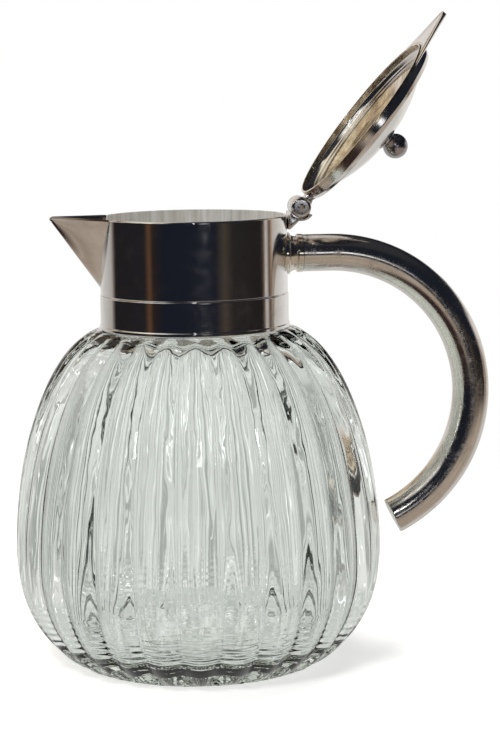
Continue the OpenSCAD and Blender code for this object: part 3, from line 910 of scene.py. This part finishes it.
def camera():
    data = bpy.data.cameras.new("photo_camera")
    data.sensor_width = 36.0
    data.lens = LENS
    made = bpy.data.objects.new("photo_camera", data)
    bpy.context.collection.objects.link(made)
    forward = np.array([
        math.sin(CAMERA_YAW) * math.cos(CAMERA_PITCH),
        math.cos(CAMERA_YAW) * math.cos(CAMERA_PITCH),
        -math.sin(CAMERA_PITCH),
    ])
    level = np.array([math.cos(CAMERA_YAW), -math.sin(CAMERA_YAW), 0.0])
    above = np.cross(level, forward)
    right = math.cos(CAMERA_ROLL) * level + math.sin(CAMERA_ROLL) * above
    up = np.cross(right, forward)
    turn = Matrix([[right[k], up[k], -forward[k]] for k in range(3)]).to_4x4()
    place = (
        -CAMERA_DISTANCE * math.sin(CAMERA_SIDE),
        -CAMERA_DISTANCE * math.cos(CAMERA_SIDE),
        RIM_Z * MM + CAMERA_ABOVE_RIM,
    )
    made.matrix_world = Matrix.Translation(place) @ turn
    bpy.context.scene.camera = made


def area_light(name, place, target, size, power, mirrored):
    """A soft lamp; one that is not mirrored shows neither in the silver nor through the glass."""
    data = bpy.data.lights.new(name, "AREA")
    data.shape = "RECTANGLE"
    data.size, data.size_y = size
    data.energy = power
    made = bpy.data.objects.new(name, data)
    bpy.context.collection.objects.link(made)
    made.visible_glossy = mirrored
    made.visible_transmission = mirrored
    aim = np.array(target, float) - np.array(place, float)
    back = -aim / np.linalg.norm(aim)
    side = np.cross((0, 0, 1), back)
    side /= np.linalg.norm(side)
    up = np.cross(back, side)
    turn = Matrix([[side[k], up[k], back[k]] for k in range(3)]).to_4x4()
    made.matrix_world = Matrix.Translation(place) @ turn
    return made


def floor_paper():
    """A pale round floor with a faint glow of its own, faded out so that its edge never shows."""
    radius_m, fade_m = 0.62, 0.30
    mesh = bpy.data.meshes.new("floor")
    corners = [(-radius_m, -radius_m, 0), (radius_m, -radius_m, 0), (radius_m, radius_m, 0)]
    mesh.from_pydata(corners + [(-radius_m, radius_m, 0)], [], [(0, 1, 2, 3)])
    floor = bpy.data.objects.new("floor", mesh)
    bpy.context.collection.objects.link(floor)
    n = Nodes("floor_paper")
    n.put(n.shader.inputs["Base Color"], n.mix(n.noise(30, 4), (0.91, 0.90, 0.89), (0.94, 0.93, 0.92)))
    n.shader.inputs["Roughness"].default_value = 0.9
    n.shader.inputs["Emission Color"].default_value = (1.0, 1.0, 0.99, 1)
    n.shader.inputs["Emission Strength"].default_value = 0.60
    distance = n.node("ShaderNodeVectorMath", Vector=n.coordinates)
    distance.operation = "LENGTH"
    fade = n.node("ShaderNodeMapRange", Value=distance.outputs["Value"])
    fade.interpolation_type = "SMOOTHSTEP"
    fade.inputs["From Min"].default_value = fade_m
    fade.inputs["From Max"].default_value = radius_m - 0.02
    clear = n.tree.nodes.new("ShaderNodeBsdfTransparent")
    blend = n.tree.nodes.new("ShaderNodeMixShader")
    n.tree.links.new(fade.outputs["Result"], blend.inputs[0])
    n.tree.links.new(n.shader.outputs[0], blend.inputs[1])
    n.tree.links.new(clear.outputs[0], blend.inputs[2])
    n.tree.links.new(blend.outputs[0], n.tree.nodes["Material Output"].inputs["Surface"])
    mesh.materials.append(n.material)
    floor.visible_glossy = False
    floor.visible_transmission = False


def room():
    """Pale paper behind the jug, a dim room in front, a warm table and wood above."""
    world = bpy.data.worlds.new("room")
    bpy.context.scene.world = world
    world.use_nodes = True
    tree = world.node_tree

    def node(kind, *values):
        made = tree.nodes.new(kind)
        for socket, value in zip(made.inputs, values):
            if isinstance(value, bpy.types.NodeSocket):
                tree.links.new(value, socket)
            elif value is not None:
                socket.default_value = value
        return made

    def calculate(operation, a, b=0.0):
        made = node("ShaderNodeMath", a, b)
        made.operation = operation
        return made.outputs[0]

    def ramp(factor, stops):
        made = node("ShaderNodeValToRGB", factor)
        elements = made.color_ramp.elements
        while len(elements) < len(stops):
            elements.new(0.5)
        for element, (place, color) in zip(elements, stops):
            element.position, element.color = place, (*color, 1)
        return made.outputs["Color"]

    def between(value, low, high):
        made = node("ShaderNodeMapRange", value, low, high)
        made.interpolation_type = "SMOOTHSTEP"
        return made.outputs["Result"]

    def mix(factor, a, b):
        made = tree.nodes.new("ShaderNodeMix")
        made.data_type = "RGBA"
        for socket, value in zip((made.inputs[0], made.inputs[6], made.inputs[7]), (factor, a, b)):
            if isinstance(value, bpy.types.NodeSocket):
                tree.links.new(value, socket)
            else:
                socket.default_value = value if isinstance(value, float) else (*value, 1)
        return made.outputs[2]

    direction = tree.nodes.new("ShaderNodeTexCoord").outputs["Generated"]
    x, y, z = node("ShaderNodeSeparateXYZ", direction).outputs
    turn = calculate("ADD", calculate("DIVIDE", calculate("ARCTAN2", x, y), 2 * math.pi), 0.5)

    # What the silver mirrors. turn is 0.5 behind the jug, 0.25 to its left, 0.75 to its right
    dark = (0.010, 0.012, 0.020)
    paper = (0.80, 0.78, 0.75)
    cream = (0.66, 0.60, 0.55)
    level = ramp(turn, [
        (0.0, dark), (0.12, dark), (0.155, (0.02, 0.014, 0.012)), (0.168, (0.11, 0.055, 0.03)),
        (0.185, (0.015, 0.014, 0.016)), (0.325, (0.014, 0.013, 0.014)), (0.338, (0.20, 0.16, 0.14)),
        (0.348, (0.42, 0.39, 0.36)), (0.42, (0.62, 0.60, 0.58)), (0.48, paper), (0.60, paper),
        (0.70, (0.50, 0.46, 0.42)), (0.712, (0.34, 0.20, 0.12)),
        (0.722, (0.02, 0.014, 0.012)), (0.74, cream), (0.75, (0.10, 0.07, 0.05)),
        (0.762, (0.015, 0.012, 0.012)), (0.88, (0.02, 0.018, 0.018)), (0.91, (0.06, 0.045, 0.035)),
        (0.94, dark),
    ])
    behind = ramp(turn, [
        (0.0, (0, 0, 0)), (0.26, (0, 0, 0)), (0.34, (1, 1, 1)), (0.70, (1, 1, 1)), (0.76, (0, 0, 0)),
    ])
    streaks = node("ShaderNodeMapping", direction, None, None, (5.0, 5.0, 1.2)).outputs[0]
    clutter = node("ShaderNodeTexNoise", streaks, None, 2.2, 3.0).outputs["Fac"]
    wood = mix(between(clutter, 0.38, 0.62), (0.13, 0.095, 0.06), (0.78, 0.66, 0.50))
    table = mix(between(clutter, 0.35, 0.65), (0.30, 0.25, 0.205), (0.48, 0.41, 0.35))
    shade = ramp(turn, [
        (0.0, (0, 0, 0)), (0.02, (0, 0, 0)), (0.05, (1, 1, 1)), (0.13, (1, 1, 1)), (0.17, (0, 0, 0)),
    ])
    table = mix(shade, table, (0.035, 0.022, 0.020))
    left = ramp(turn, [
        (0.0, (0, 0, 0)), (0.22, (0, 0, 0)), (0.30, (1, 1, 1)), (0.45, (1, 1, 1)), (0.51, (0, 0, 0)),
    ])
    night = (0.012, 0.014, 0.022)
    beam = mix(behind, night, (0.76, 0.72, 0.70))
    upper = mix(left, night, wood)
    lower = mix(behind, table, (0.62, 0.61, 0.60))
    overhead = mix(left, (0.03, 0.03, 0.035), (0.85, 0.78, 0.64))
    mirrored = mix(between(z, 0.03, 0.10), level, beam)
    mirrored = mix(between(z, 0.22, 0.34), mirrored, upper)
    mirrored = mix(between(z, 0.60, 0.80), mirrored, overhead)
    mirrored = mix(between(z, -0.16, -0.30), mirrored, lower)
    # A window high on the left, broken by its frame and leaves
    leaves = node("ShaderNodeTexNoise", direction, None, 16.0, 5.0, 0.7).outputs["Fac"]
    window = ramp(turn, [
        (0.0, (0, 0, 0)), (0.10, (0, 0, 0)), (0.14, (1, 1, 1)), (0.23, (1, 1, 1)), (0.28, (0, 0, 0)),
    ])
    tall = calculate("ABSOLUTE", calculate("SUBTRACT", z, 0.62))
    window = calculate("MULTIPLY", window, between(tall, 0.26, 0.16))
    window = calculate("MULTIPLY", window, between(leaves, 0.42, 0.56))
    mirrored = mix(window, mirrored, (1.7, 1.68, 1.60))
    # A bright patch beside the camera
    aside = calculate("ABSOLUTE", calculate("SUBTRACT", turn, 0.978))
    height = calculate("ABSOLUTE", calculate("SUBTRACT", z, 0.035))
    patch = calculate("MULTIPLY", between(aside, 0.022, 0.006), between(height, 0.075, 0.045))
    mirrored = mix(patch, mirrored, (1.3, 1.32, 1.35))

    # What shows through the glass: a grey, unevenly lit wall, dim to the sides
    bands = node("ShaderNodeMapping", direction, None, None, (1.0, 1.0, 0.18)).outputs[0]
    uneven = node("ShaderNodeTexNoise", bands, None, 8.0, 4.0, 0.55).outputs["Fac"]
    side = ramp(turn, [
        (0.0, (0.38, 0.39, 0.37)), (0.17, (0.36, 0.37, 0.35)), (0.20, (0.26, 0.27, 0.25)),
        (0.23, (0.26, 0.27, 0.25)), (0.26, (0.36, 0.37, 0.35)), (0.50, (0.40, 0.41, 0.39)),
        (0.74, (0.36, 0.37, 0.35)), (0.77, (0.26, 0.27, 0.25)), (0.80, (0.26, 0.27, 0.25)),
        (0.83, (0.36, 0.37, 0.35)), (1.0, (0.38, 0.39, 0.37)),
    ])
    bright = ramp(turn, [
        (0.0, (0.66, 0.67, 0.64)), (0.27, (0.62, 0.63, 0.60)), (0.35, (0.83, 0.84, 0.81)),
        (0.65, (0.83, 0.84, 0.81)), (0.73, (0.62, 0.63, 0.60)), (1.0, (0.66, 0.67, 0.64)),
    ])
    glints = node("ShaderNodeTexNoise", bands, None, 27.0, 3.0, 0.6).outputs["Fac"]
    through = mix(between(uneven, 0.38, 0.60), side, bright)
    through = mix(between(z, -0.30, -0.55), through, (0.60, 0.62, 0.59))
    through = mix(between(z, 0.30, 0.60), through, (0.62, 0.63, 0.60))
    through = mix(between(glints, 0.60, 0.68), through, (1.6, 1.6, 1.60))

    rays = node("ShaderNodeLightPath").outputs
    color = mix(rays["Is Transmission Ray"], mirrored, through)
    background = tree.nodes["Background"]
    tree.links.new(mix(rays["Is Camera Ray"], color, (1.0, 1.0, 1.0)), background.inputs["Color"])


def studio():
    floor_paper()
    room()
    area_light("top_softbox", (0.15, 0.25, 1.3), (0, 0, 0.1), (0.9, 0.6), 9, False)
    area_light("front_fill", (-0.5, -0.9, 1.25), (0, 0, 0.05), (0.35, 0.35), 8, False)
    area_light("flash", (-0.098, -1.17, 0.60), (0, 0, 0.2), (0.04, 0.20), 0.25, True)


def main():
    camera()
    glass_jug()
    cement_ring()
    base_band()
    sleeve()
    pouring_spout()
    ferrule()
    handle()
    handle_cap()
    bracket()
    fixed_knuckles()
    hinge_pin()
    lid_knuckle()
    leaf()
    lid_shell()
    flap()
    knob()
    studio()
    bpy.context.scene.view_settings.view_transform = "Standard"


main()
